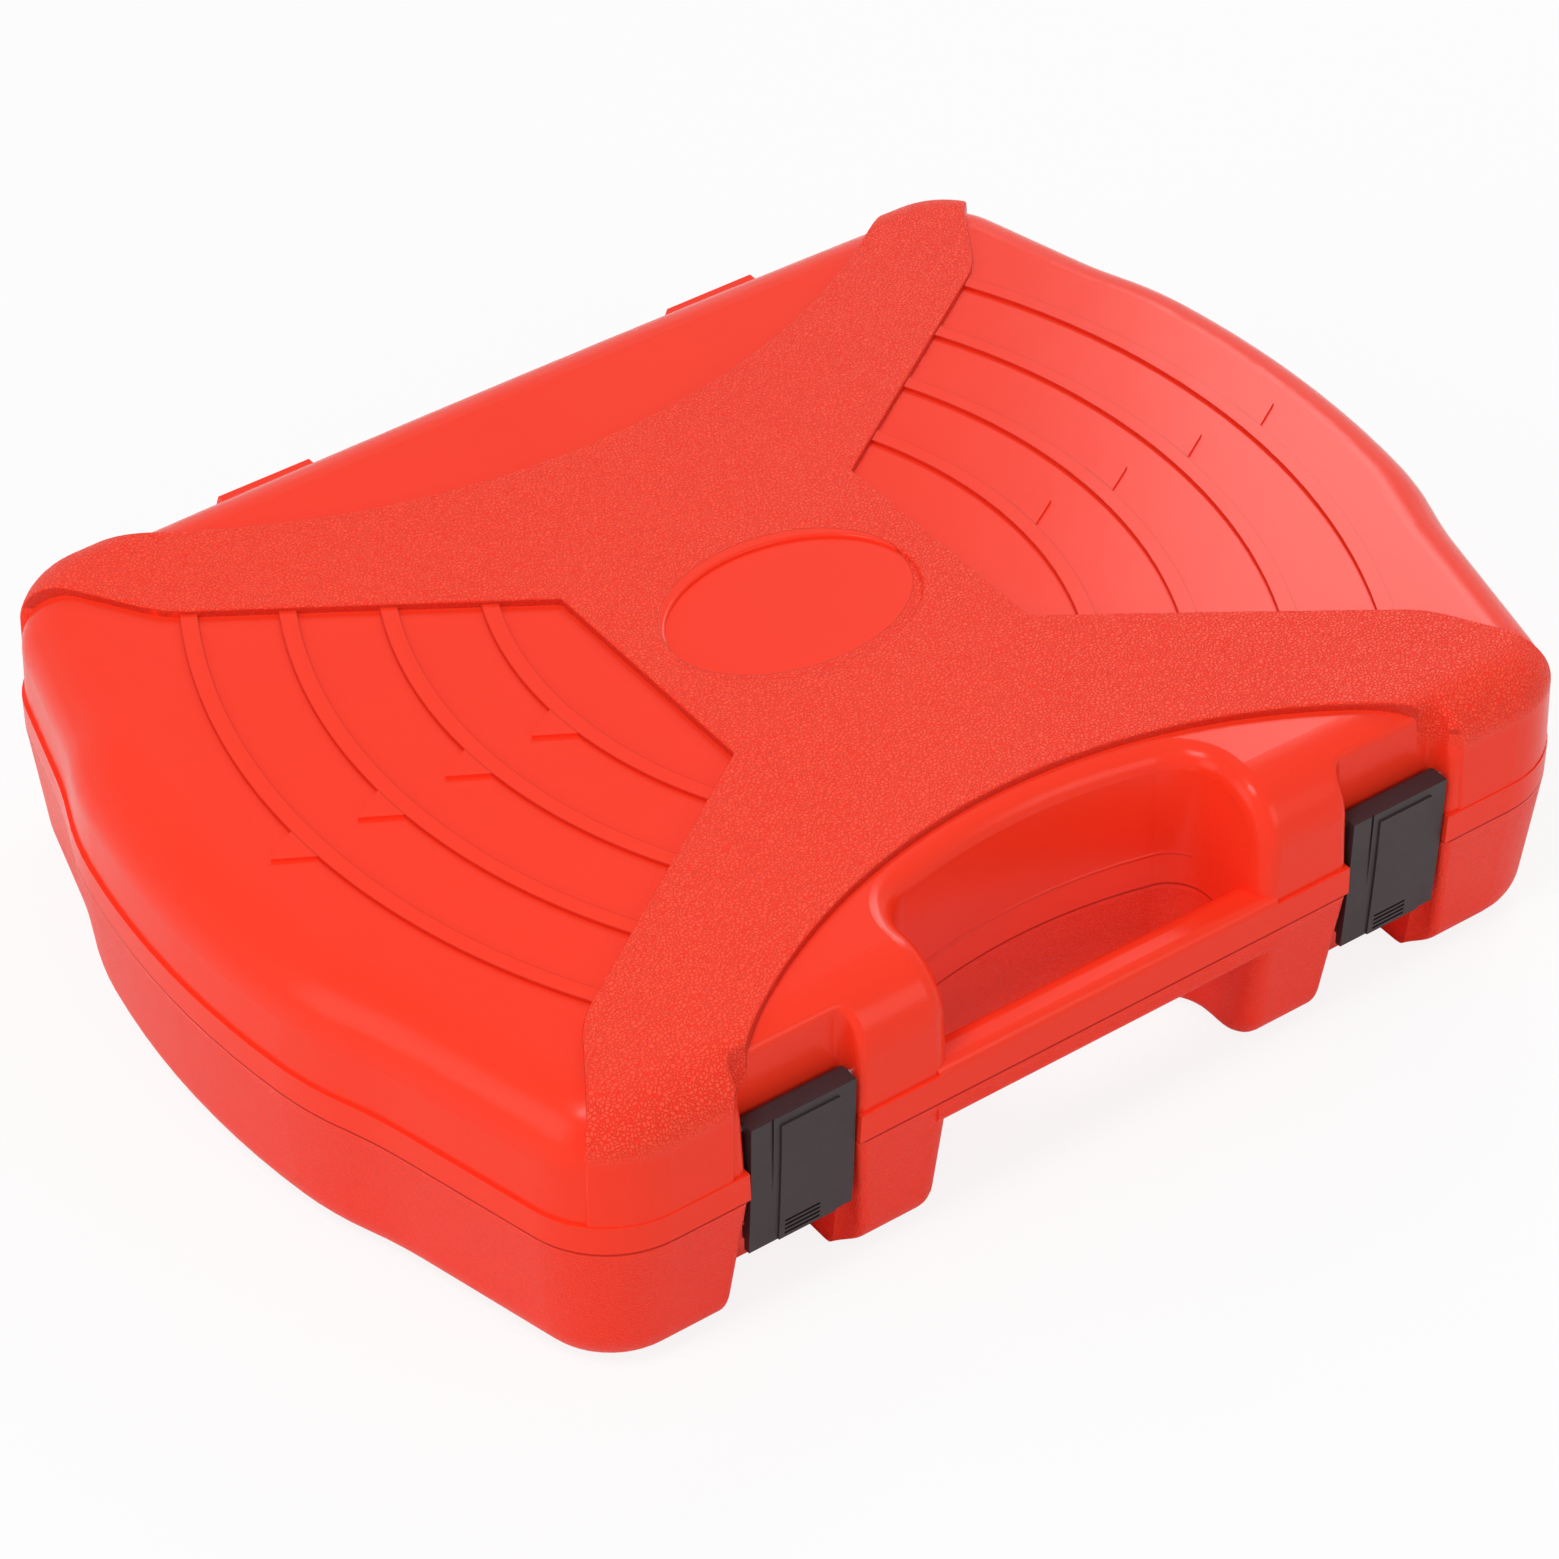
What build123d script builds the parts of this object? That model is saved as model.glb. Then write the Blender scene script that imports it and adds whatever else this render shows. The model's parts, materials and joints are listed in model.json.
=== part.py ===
"""Socket wrench set in a blow-moulded carrying case.

The case is two hollow plastic halves that meet at a parting plane. They carry a rear hinge, two
front snap latches and a handle bar moulded into both halves. The base half is a tray of pockets
for two ratchets, sockets, extension bars, a spinner handle and bits.

Millimetres. +X runs along the hinge, -Y is the handle side, +Z is up. The origin is the centre of
the base's underside.
"""
from build123d import *
from types import SimpleNamespace
import math
import os

# ---------------------------------------------------------------- driving dimensions: case
case_length = 387.0
case_depth = 285.5
base_height = 45.5
lid_height = 46.5
parting_gap = 0.3
wall = 2.5
void_inset = 8.0            # the air space starts this far inside the outline
draft = 2.0                 # of the lid's walls
base_draft = 6.0

bulge_offset = 6.9          # the end bulges sit this far behind the middle of the case
bulge_radius = 280.0
bulge_half_angle = 9.75
haunch_radius = 97.5
haunch_angle = 13.0
waist_radius = 132.0
waist_angle = 7.8
corner_radius = 28.5

lid_round = 18.0
panel_round = 14.5          # the X panel's own, smaller round at the case's corners
base_round = 12.0
base_recess_draft = 5.0
lid_crown_radius = 6500.0   # the lid's top falls gently towards both ends
rim_band_height = 9.3
field_inset = 0.6           # smooth fields lie inside the rim band and the X panel
field_drop = 2.3
oval_length = 76.0
oval_depth = 55.0
oval_sink = 1.2

pattern_y = -3.8            # the X panel and its oval are centred this far from the middle
panel_waist = 49.0          # the X panel: half width at its waist, then the corners of one arm
panel_waist_end = 40.0
panel_arm = [(138.0, 99.5), (154.0, 125.0), (190.0, 165.0)]
panel_arm_round = 28.0
panel_front_y = -95.4       # where its front and back arcs cross the middle of the lid
panel_front_radius = 177.0
panel_back_y = 89.1
panel_back_radius = 213.0
panel_edge_round = 0.8

rib_places = [72.0, 99.0, 126.0, 152.5]
rib_height = 1.0
rib_width = 4.8
rib_centre_setback = 46.0
rib_start_share = 0.8       # a rib starts under the X panel, at this share of its place
arrow_length = 10.0
arrow_width = 15.0
arrow_y = -5.5

# ---------------------------------------------------------------- driving dimensions: handle
grip_opening_width = 100.0
grip_opening_back = 104.0   # distance of the opening's back wall from the case's centre line
grip_opening_bow = 8.0
grip_opening_corner = 12.0
grip_opening_draft = 2.5
grip_rim_round = 6.0
bar_thickness = 12.5
bar_rise = 12.0
bar_drop = 8.0
bar_back_round = 6.0
bar_front_round = 3.0

# ---------------------------------------------------------------- driving dimensions: latches
latch_centre_x = 98.0
latch_width = 32.4
latch_side_gap = 0.8
latch_recess_depth = 8.0
recess_corner = 2.0
recess_rim_round = 2.5
latch_face_inset = 0.4
latch_thickness = 3.8
latch_barrel_radius = 2.6
latch_top_rise = 22.8       # above the parting plane
latch_reach = 21.0          # how far the latch hangs below the parting plane
latch_pin_radius = 1.2
latch_pin_seat = 3.0
relief_top = 25.0           # finger relief under the latch: from here down and back to the underside
relief_depth = 22.5
relief_wall = 3.5
nose_height = 4.0
nose_depth = 1.5
catch_height = 4.0
catch_top = 9.0             # below the parting plane
moving_gap = 0.3
latch_panel = (-7.2, 10.9)  # left and right ends of the raised panel on the latch's face
latch_panel_drop = 3.0      # from the latch's top to the panel
latch_panel_rise = 0.5
latch_groove_place = -9.7
latch_groove_width = 0.8
latch_groove_depth = 0.5
latch_grip_ribs = 4
latch_grip_pitch = 1.5
latch_grip_width = 11.0

# ---------------------------------------------------------------- driving dimensions: hinge
hinge_centre_x = 77.0
hinge_width = 30.0
hinge_axis_setback = 8.0    # behind the back wall
knuckle_radius = 5.5
knuckle_gap = 0.4
base_knuckle_width = 12.0
hinge_pin_radius = 2.0
shaft_clearance = 0.05
lug_height = 33.5
lug_thickness = 12.0
lug_top_thickness = 1.5
lug_shoulder = 8.0          # above the parting plane, where the lug starts to slope
lug_round = 5.0
base_lug_drop = 20.0

# ---------------------------------------------------------------- driving dimensions: tray
rim_width = 12.0
tray_front = 89.0           # distance of the tray's front edge from the case's centre line
deck_depth = 8.6
lid_recess_height = 17.0
tool_axis_rise = 4.6        # tool axes lie this far above the deck
seat_gap = 0.3
finger_groove_width = 14.0
finger_groove_depth = 8.4

large_socket_row_y = 99.0
small_socket_row_y = 60.0
large_ratchet_row_y = 25.0
long_bar_row_y = -10.0
small_ratchet_row_y = -38.0
short_bar_row_y = -71.0
row_inset = 41.5            # from the end of the case to the tools' first pockets
tool_spacing = 4.5
spark_spacing = 13.4        # clear lengths between the tools of a shared row
bit_spacing = 10.5
adaptor_spacing = 7.0
thin_bar_spacing = 17.0
spinner_spacing = 9.0

# ---------------------------------------------------------------- driving dimensions: tools
large_drive = 12.7
small_drive = 6.35
adaptor_drive = 9.525
drive_clearance = 0.1
hex_clearance = 0.1
edge_break = 0.8

# hexagon size: outer diameter at the hexagon end
large_sockets = {10: 16.0, 12: 18.0, 13: 19.0, 14: 20.5, 15: 22.0, 17: 24.0, 19: 26.5, 22: 30.0, 24: 32.5}
large_socket_length = 38.0
large_drive_end = 22.0
large_drive_depth = 15.0
small_sockets = {5: 8.0, 6: 9.5, 7: 11.0, 8: 12.0, 9: 13.0, 10: 14.5, 11: 16.0, 12: 17.2, 13: 18.5}
small_socket_length = 25.0
small_drive_end = 11.8
small_drive_depth = 8.0
spark_size = 16.0
spark_diameter = 23.0
spark_length = 65.0
spark_insert_length = 12.0
spark_insert_wall = 2.0

long_bar_length = 250.0
short_bar_length = 125.0
large_bar_radius = 7.0
large_bar_socket_radius = 11.0
large_bar_socket_length = 26.0
thin_bar_length = 100.0
thin_bar_radius = 3.8
thin_bar_socket_radius = 5.9
thin_bar_socket_length = 15.0
adaptor_length = 36.0
adaptor_socket_length = 20.0

spinner_length = 150.0
spinner_grip_length = 95.0
spinner_grip_radius = 13.5
spinner_shaft_radius = 4.0
spinner_tang_length = 60.0

bit_width = 6.35
bit_length = 25.0
bit_shank = 16.0
bit_neck = 4.0
bit_neck_radius = 2.2
bit_blade = 1.0
bit_sizes = [4.0, 5.0]
bit_pitch = 10.5
bit_columns = 4
bit_rows = 2
bit_holder_height = 14.0
bit_holder_margin = 6.0
bit_holder_sink = 12.4      # its underside lies this far below the deck
bit_seat_depth = 9.0

large_ratchet = SimpleNamespace(
    length=255.0, head_radius=21.0, head_height=24.0, gear_radius=11.5, gear_teeth=36, tooth_depth=0.9,
    journal_radius=9.0, floor=5.0, drive=large_drive, drive_depth=large_drive_depth,
    cover_radius=17.6, cover_thickness=2.5, screw_place=14.6, screw_radius=1.2, screw_head_radius=2.1,
    hub_radius=4.5, lever_radius=8.5, lever_reach=17.0, lever_width=7.0, lever_height=3.2,
    button_radius=2.6, button_stroke=1.5, pawl_place=15.0, pawl_width=11.0, pawl_thickness=3.4,
    pawl_pin_radius=1.0, shank_radius=7.5, tang_radius=6.0, grip_length=118.0, grip_radius=14.0)
small_ratchet = SimpleNamespace(
    length=145.0, head_radius=13.5, head_height=14.0, gear_radius=7.0, gear_teeth=30, tooth_depth=0.6,
    journal_radius=5.2, floor=3.0, drive=small_drive, drive_depth=small_drive_depth,
    cover_radius=11.4, cover_thickness=1.8, screw_place=9.5, screw_radius=0.8, screw_head_radius=1.5,
    hub_radius=3.0, lever_radius=5.6, lever_reach=11.0, lever_width=4.6, lever_height=2.4,
    button_radius=1.6, button_stroke=1.2, pawl_place=9.4, pawl_width=7.0, pawl_thickness=2.2,
    pawl_pin_radius=0.7, shank_radius=4.5, tang_radius=3.6, grip_length=78.0, grip_radius=9.5)

# ---------------------------------------------------------------- derived places
half_length = case_length / 2
half_depth = case_depth / 2
parting_z = base_height
lid_rim_z = parting_z + parting_gap / 2
base_rim_z = parting_z - parting_gap / 2
lid_top_z = base_height + lid_height
deck_z = parting_z - deck_depth
tool_axis_z = deck_z + tool_axis_rise
latch_recess_width = latch_width + 2 * latch_side_gap
recess_back_y = -half_depth + latch_recess_depth
latch_face_y = -half_depth + latch_face_inset
latch_top_z = parting_z + latch_top_rise
latch_pivot_z = latch_top_z - latch_barrel_radius
recess_lean = math.tan(math.radians(draft)) * (latch_pivot_z - parting_z)
latch_pivot_y = recess_back_y + recess_lean - moving_gap - latch_barrel_radius
row_start_x = -half_length + row_inset
hinge_axis_y = half_depth + hinge_axis_setback

nodes = {}
stowed = []                 # (place, segments) of each round tool
wells = []                  # (x, y, radius, low z) of upright round pockets
slots = []                  # (low corner, high corner) of square pockets


def box_between(low, high):
    """Axis-aligned box from its low corner to its high corner."""
    size = [b - a for a, b in zip(low, high)]
    middle = [(a + b) / 2 for a, b in zip(low, high)]
    return Pos(*middle) * Box(*size)


def rod_x(radius, x0, x1, y, z):
    """Round bar along X."""
    return Pos((x0 + x1) / 2, y, z) * Rot(0, 90, 0) * Cylinder(radius, x1 - x0)


# ---------------------------------------------------------------- case outline
def end_curve(side):
    """Half of the right end, from the bulge's tip towards the back (+1) or the front (-1)."""
    bulge = JernArc((half_length, bulge_offset), (0, side), bulge_radius, side * bulge_half_angle)
    haunch = JernArc(bulge @ 1, bulge % 1, haunch_radius, side * haunch_angle)
    waist = JernArc(haunch @ 1, haunch % 1, waist_radius, -side * waist_angle)
    run = (side * half_depth - (waist @ 1).Y) / (waist % 1).Y
    corner = waist @ 1 + (waist % 1) * run
    return [bulge, haunch, waist, Line(waist @ 1, corner)], corner


def case_plan(inset=0.0):
    """Plan outline of the case at the parting plane, moved inwards by inset."""
    back, back_corner = end_curve(1)
    front, front_corner = end_curve(-1)
    right = back + front
    left = [mirror(edge, Plane.YZ) for edge in right]
    back_line = Line(back_corner, (-back_corner.X, back_corner.Y))
    front_line = Line(front_corner, (-front_corner.X, front_corner.Y))
    plan = make_face(right + left + [back_line, front_line])
    corners = [v for v in plan.vertices() if abs(v.Y) > half_depth - 0.01]
    plan = fillet(corners, corner_radius)
    if inset:
        plan = offset(plan, -inset)
    return plan


def grip_opening_plan():
    """Plan of the finger opening at the parting plane, running out past the front."""
    half = grip_opening_width / 2
    side_back = grip_opening_back + grip_opening_bow
    front = case_depth
    plan = make_face([
        ThreePointArc((half, -side_back), (0, -grip_opening_back), (-half, -side_back)),
        Line((-half, -side_back), (-half, -front)),
        Line((-half, -front), (half, -front)),
        Line((half, -front), (half, -side_back)),
    ])
    corners = [v for v in plan.vertices() if v.Y > -side_back - 1]
    return fillet(corners, grip_opening_corner)


def latch_recess_plan(centre_x):
    """Plan of one latch recess at the parting plane."""
    length = case_depth
    plan = Pos(centre_x, recess_back_y - length / 2) * Rectangle(latch_recess_width, length)
    corners = [v for v in plan.vertices() if v.Y > recess_back_y - 1]
    return fillet(corners, recess_corner)


def grow_from_parting(plan, taper, height):
    """Cutter that widens upwards from the parting plane."""
    return extrude(Pos(0, 0, parting_z) * plan, height, taper=-taper)


# ---------------------------------------------------------------- case halves
def front_cutters(recess_draft):
    """Finger opening and latch recesses above the parting plane, each with its rim round."""
    reach = lid_height + lid_round
    opening = grow_from_parting(grip_opening_plan(), grip_opening_draft, reach)
    cutters = [(opening, grip_rim_round)]
    for side in (-1, 1):
        recess = grow_from_parting(latch_recess_plan(side * latch_centre_x), recess_draft, reach)
        cutters.append((recess, recess_rim_round))
    return cutters


def rim_edges(body, cutter):
    """Edges a cutter left round its rim, without the seams that run down its walls."""
    reach = cutter.bounding_box()
    rim = []
    for edge in body.edges():
        middle = edge @ 0.5
        if not (reach.min.X - 1 < middle.X < reach.max.X + 1 and middle.Y < reach.max.Y + 1):
            continue
        at_parting = middle.Z < parting_z + parting_gap
        seam = abs((edge @ 0).Z - (edge @ 1).Z) > base_height / 3 and middle.Y > -half_depth + 3
        if at_parting or seam:
            continue
        if all(cutter.distance_to(Vertex(*(edge @ u))) < 0.01 for u in (0.05, 0.5, 0.95)):
            rim.append(edge)
    return rim


def crown(top_z, radius):
    """Barrel-shaped space under the crowned top of the lid."""
    return Pos(0, 0, top_z - radius) * Rot(90, 0, 0) * Cylinder(radius, 2 * case_depth)


def half_form(height, inset, drop, edge_round, wall_draft, recess_draft, crowned):
    """Outer form of one half above the parting plane, with its front recesses and all its rounds."""
    top_z = parting_z + height - drop
    form = extrude(Pos(0, 0, lid_rim_z) * case_plan(inset), top_z - lid_rim_z, taper=wall_draft)
    if crowned:
        form = form & crown(top_z, lid_crown_radius)
    top = [e for e in form.edges() if e.center().Z > top_z - edge_round]
    form = fillet(top, edge_round)
    cutters = front_cutters(recess_draft)
    for cutter, _ in cutters:
        form = form - cutter
    for cutter, rim_round in cutters:
        form = fillet(rim_edges(form, cutter), rim_round)
    return form


def half_void(height, drop, low_z, edge_round, wall_draft, recess_draft, crowned):
    """Sealed air space inside one half's double wall, above the parting plane."""
    top_z = parting_z + height - drop - wall
    void = extrude(Pos(0, 0, low_z) * case_plan(void_inset), top_z - low_z, taper=wall_draft)
    if crowned:
        void = void & crown(top_z, lid_crown_radius - wall)
    slope = edge_round + field_inset - void_inset
    void = chamfer([e for e in void.edges() if e.center().Z > top_z - wall], slope)
    reach = lid_height + lid_round
    opening = offset(grip_opening_plan(), grip_rim_round)
    void = void - grow_from_parting(opening, grip_opening_draft, reach)
    for side in (-1, 1):
        recess = offset(latch_recess_plan(side * latch_centre_x), recess_rim_round + latch_pin_seat)
        void = void - grow_from_parting(recess, recess_draft, reach)
    return void


def tray_plan():
    """Plan of the interior, behind the handle and inside the rim."""
    plan = case_plan(rim_width)
    depth = half_depth + tray_front
    plan = plan & (Pos(0, depth / 2 - tray_front) * Rectangle(case_length, depth))
    corners = [v for v in plan.vertices() if v.Y < -tray_front + 0.1]
    return fillet(corners, rim_width)


def below_parting(shape):
    """The same shape turned over about the parting plane."""
    return mirror(shape, Plane.XY.offset(parting_z))


def handle_bar(low_z, high_z, top):
    """One half's share of the handle bar; top says which long edges are rounded."""
    length = grip_opening_width + 2 * grip_rim_round
    bar = box_between((-length / 2, -half_depth, low_z), (length / 2, -half_depth + bar_thickness, high_z))
    rounded_z = high_z if top else low_z
    for rounded_y, radius in ((-half_depth, bar_front_round), (-half_depth + bar_thickness, bar_back_round)):
        long_edges = [e for e in bar.edges() if abs(e.center().Z - rounded_z) < 0.01
                      and abs(e.center().Y - rounded_y) < radius / 2 and e.length > length / 2]
        bar = fillet(long_edges, radius)
    return bar


def x_panel_plan():
    """Plan of the raised X panel, running past the case's corners."""
    quarter = [(panel_waist, panel_waist_end)] + panel_arm
    far = panel_arm[-1]
    right = quarter + [(far[0], case_depth), (-far[0], case_depth)]
    left = [(-x, y) for x, y in reversed(quarter)]
    upper = right + left
    lower = [(x, -y) for x, y in reversed(upper)]
    plan = make_face(Polyline(*(upper + lower), close=True))
    bends = [v for v in plan.vertices() if any(
        abs(abs(v.X) - x) < 0.01 and abs(abs(v.Y) - y) < 0.01 for x, y in panel_arm[:2])]
    plan = Pos(0, pattern_y) * fillet(bends, panel_arm_round)
    plan = plan - Pos(0, panel_front_y - panel_front_radius) * Circle(panel_front_radius)
    return plan - Pos(0, panel_back_y + panel_back_radius) * Circle(panel_back_radius)


def rib_plan(place, side):
    """Curved rib of a side field, with an arrowhead that points to the case's end."""
    centre = Pos(-side * rib_centre_setback, 0)
    inner = place + rib_centre_setback
    ring = centre * (Circle(inner + rib_width) - Circle(inner))
    reach = place + rib_width + arrow_length
    start = place * rib_start_share
    window = Pos(side * (start + reach) / 2, 0) * Rectangle(reach - start, case_depth)
    base_x = place + rib_width / 2
    head = make_face(Polyline((side * base_x, arrow_y - arrow_width / 2), (side * reach, arrow_y),
                              (side * base_x, arrow_y + arrow_width / 2), close=True))
    return (ring & window) + head


def x_panel():
    """Raised X panel over the lid's crown and corners, with softened edges and its oval."""
    plan = x_panel_plan()
    low_z = parting_z + rim_band_height
    space = extrude(Pos(0, 0, low_z) * plan, lid_height)
    panel = half_form(lid_height, 0, 0, panel_round, draft, draft, True) & space
    outline = plan.face().outer_wire()
    step = []
    for edge in panel.edges():
        points = [edge @ u for u in (0.05, 0.5, 0.95)]
        upright = abs(points[0].X - points[2].X) + abs(points[0].Y - points[2].Y) < 0.01
        on_outline = all(outline.distance_to(Vertex(p.X, p.Y, 0)) < 0.01 for p in points)
        if on_outline and not upright and points[1].Z > low_z + 0.1:
            step.append(edge)
    panel = fillet(step, panel_edge_round)
    oval = extrude(Pos(0, pattern_y, lid_top_z - oval_sink) * Ellipse(oval_length / 2, oval_depth / 2), lid_round)
    panel = panel - oval
    lip = [e for e in panel.edges() if e.is_closed and (e @ 0).Z > lid_top_z - oval_sink + 0.1]
    return fillet(lip, panel_edge_round)


def side_ribs():
    """Low ribs of both side fields, crowned like the lid."""
    plan = None
    for place in rib_places:
        for side in (-1, 1):
            rib = rib_plan(place, side)
            plan = rib if plan is None else plan + rib
    ribs = extrude(Pos(0, 0, lid_top_z - lid_round) * plan, 2 * lid_round)
    return ribs & crown(lid_top_z - field_drop + rib_height, lid_crown_radius)


def make_lid_shell():
    """Upper half: crowned top with the raised X panel, ribs, oval, hinge lugs and double wall."""
    form = half_form(lid_height, field_inset, field_drop, lid_round, draft, draft, True)
    band = extrude(Pos(0, 0, lid_rim_z) * case_plan(), rim_band_height - parting_gap / 2)
    for cutter, _ in front_cutters(draft):
        band = band - cutter
    shell = form + band

    shell = shell + x_panel() + side_ribs()
    shell = shell + handle_bar(lid_rim_z, parting_z + bar_rise, True)
    shell = shell - extrude(Pos(0, 0, lid_rim_z) * tray_plan(), lid_recess_height)
    ceiling_z = lid_rim_z + lid_recess_height
    shell = shell - half_void(lid_height, field_drop, ceiling_z + wall, lid_round, draft, draft, True)
    for side in (-1, 1):
        shell = shell + lid_knuckles(side * hinge_centre_x)
        shell = shell - rod_x(latch_pin_radius, *latch_pin_span(side), latch_pivot_y, latch_pivot_z)
    return shell


def make_base_shell(pockets, grown_pockets):
    """Lower half: tray deck with a pocket for each tool, catches, hinge knuckles and double wall."""
    shell = below_parting(half_form(base_height, 0, 0, base_round, base_draft, base_recess_draft, False))
    shell = shell + handle_bar(parting_z - bar_drop, base_rim_z, False)
    shell = shell - extrude(Pos(0, 0, deck_z) * tray_plan(), deck_depth)
    for side in (-1, 1):
        shell = shell - finger_relief(side * latch_centre_x, 0)
        shell = shell + catch_rib(side * latch_centre_x)
        shell = shell + base_knuckle(side * hinge_centre_x)
    low_z = 2 * parting_z - deck_z + wall
    void = below_parting(half_void(base_height, 0, low_z, base_round, base_draft, base_recess_draft, False))
    for side in (-1, 1):
        void = void - finger_relief(side * latch_centre_x, relief_wall)
    for cutter in grown_pockets:
        void = void - cutter
    shell = shell - void
    for cutter in pockets:
        shell = shell - cutter
    return shell


# ---------------------------------------------------------------- hinge
def lid_knuckles(centre_x):
    """Lug on the lid's back wall with two knuckles and a gap for the base's knuckle."""
    x0 = centre_x - hinge_width / 2
    x1 = centre_x + hinge_width / 2
    lug_back = half_depth + lug_thickness
    lug_top_z = parting_z + lug_height
    view = make_face(Polyline(
        (half_depth - wall, lid_rim_z), (lug_back, lid_rim_z), (lug_back, parting_z + lug_shoulder),
        (half_depth + lug_top_thickness, lug_top_z), (half_depth - wall, lug_top_z), close=True))
    lug = extrude(Plane.YZ.offset(x0) * view, x1 - x0)
    shoulder = [e for e in lug.edges() if abs(e.center().Z - parting_z - lug_shoulder) < 0.1]
    lug = fillet(shoulder, lug_round)
    lug = lug + rod_x(knuckle_radius, x0, x1, hinge_axis_y, parting_z)
    gap_half = base_knuckle_width / 2 + knuckle_gap
    lug = lug - rod_x(knuckle_radius + knuckle_gap, centre_x - gap_half, centre_x + gap_half,
                      hinge_axis_y, parting_z)
    return lug - rod_x(hinge_pin_radius + shaft_clearance, x0, x1, hinge_axis_y, parting_z)


def base_knuckle(centre_x):
    """Middle knuckle on a lug of the base's back wall."""
    x0 = centre_x - base_knuckle_width / 2
    x1 = centre_x + base_knuckle_width / 2
    lug = box_between((x0, half_depth - wall, parting_z - base_lug_drop), (x1, hinge_axis_y, base_rim_z))
    low_back = [e for e in lug.edges() if e.center().Y > hinge_axis_y - 0.1
                and e.center().Z < parting_z - base_lug_drop + 0.1]
    lug = fillet(low_back, lug_round)
    lug = lug + rod_x(knuckle_radius, x0, x1, hinge_axis_y, parting_z)
    return lug - rod_x(hinge_pin_radius, x0, x1, hinge_axis_y, parting_z)


# ---------------------------------------------------------------- latches
def latch_pin_span(side):
    """Ends of a latch pin, seated in both side walls of its recess."""
    reach = latch_recess_width / 2 + latch_pin_seat
    return side * latch_centre_x - reach, side * latch_centre_x + reach


def finger_relief(centre_x, grown):
    """Wedge cut from the base's recess, below the latch, that lets a finger reach behind it."""
    back_y = -half_depth + relief_depth
    half = latch_recess_width / 2 + grown
    view = make_face(Polyline(
        (recess_back_y, relief_top + grown), (back_y + grown, -grown), (-case_depth, -grown),
        (-case_depth, relief_top + grown), close=True))
    return extrude(Plane.YZ.offset(centre_x - half) * view, 2 * half)


def catch_rib(centre_x):
    """Rib on the base's recess wall that the latch nose snaps under."""
    top_z = parting_z - catch_top
    front_y = recess_back_y - latch_recess_depth / 3
    half = latch_width / 2
    return box_between((centre_x - half, front_y, top_z - catch_height),
                       (centre_x + half, recess_back_y + recess_rim_round, top_z))


def latch_side_view(face_y, top_z):
    """Side view of the latch: bowed pull plate under the part of its barrel behind its face."""
    bottom_z = parting_z - latch_reach
    back_y = latch_face_y + latch_thickness
    lip_y = face_y + latch_thickness / 3
    return make_face([
        ThreePointArc((face_y, top_z), (face_y + latch_thickness / 10, (top_z + bottom_z) / 2), (lip_y, bottom_z)),
        Line((lip_y, bottom_z), (back_y, bottom_z)),
        Line((back_y, bottom_z), (back_y, latch_pivot_z - latch_barrel_radius)),
        Line((back_y, latch_pivot_z - latch_barrel_radius), (latch_pivot_y, latch_pivot_z - latch_barrel_radius)),
        Line((latch_pivot_y, latch_pivot_z - latch_barrel_radius), (latch_pivot_y, top_z)),
        Line((latch_pivot_y, top_z), (face_y, top_z)),
    ])


def make_latch(centre_x):
    """Snap latch: bowed pull plate with a raised panel, a barrel at its top and a nose behind."""
    bottom_z = parting_z - latch_reach
    back_y = latch_face_y + latch_thickness
    body_view = latch_side_view(latch_face_y + latch_panel_rise, latch_top_z)
    body_view = body_view + Pos(latch_pivot_y, latch_pivot_z) * Circle(latch_barrel_radius)
    nose_top = parting_z - catch_top - catch_height - moving_gap
    nose_front = recess_back_y - latch_recess_depth / 3 - moving_gap
    nose = Pos((back_y + nose_front) / 2 - nose_depth / 2, nose_top - nose_height / 2)
    body_view = body_view + nose * Rectangle(nose_front - back_y + nose_depth, nose_height)
    latch = extrude(Plane.YZ.offset(centre_x - latch_width / 2) * body_view, latch_width)
    panel_view = latch_side_view(latch_face_y, latch_top_z - latch_panel_drop)
    panel_left, panel_right = latch_panel
    latch = latch + extrude(Plane.YZ.offset(centre_x + panel_left) * panel_view, panel_right - panel_left)
    latch = latch - rod_x(latch_pin_radius + shaft_clearance, centre_x - latch_width, centre_x + latch_width,
                          latch_pivot_y, latch_pivot_z)
    strip_y = latch_face_y + latch_panel_rise
    latch = latch - Pos(centre_x + latch_groove_place, strip_y, parting_z) * Box(
        latch_groove_width, 2 * latch_groove_depth, 2 * lid_height)
    for step in range(latch_grip_ribs):
        rib_z = bottom_z + latch_grip_pitch * (step + 1)
        latch = latch - Pos(centre_x, latch_face_y + latch_thickness / 3, rib_z) * Box(
            latch_grip_width, 2 * latch_groove_depth, latch_grip_pitch / 2)
    return latch


# ---------------------------------------------------------------- tray pockets
def trough(place, segments, clearance):
    """Pocket for a round tool: half-round below its axis and straight up to above the deck.

    segments holds (start, end, radius) along the tool's own +X.
    """
    rise = parting_z - tool_axis_z
    cutter = None
    for start, end, radius in segments:
        r = radius + clearance
        upper = box_between((start - clearance, -r, 0), (end + clearance, r, rise))
        piece = rod_x(r, start - clearance, end + clearance, 0, 0) + upper
        cutter = piece if cutter is None else cutter + piece
    return place * cutter


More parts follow.
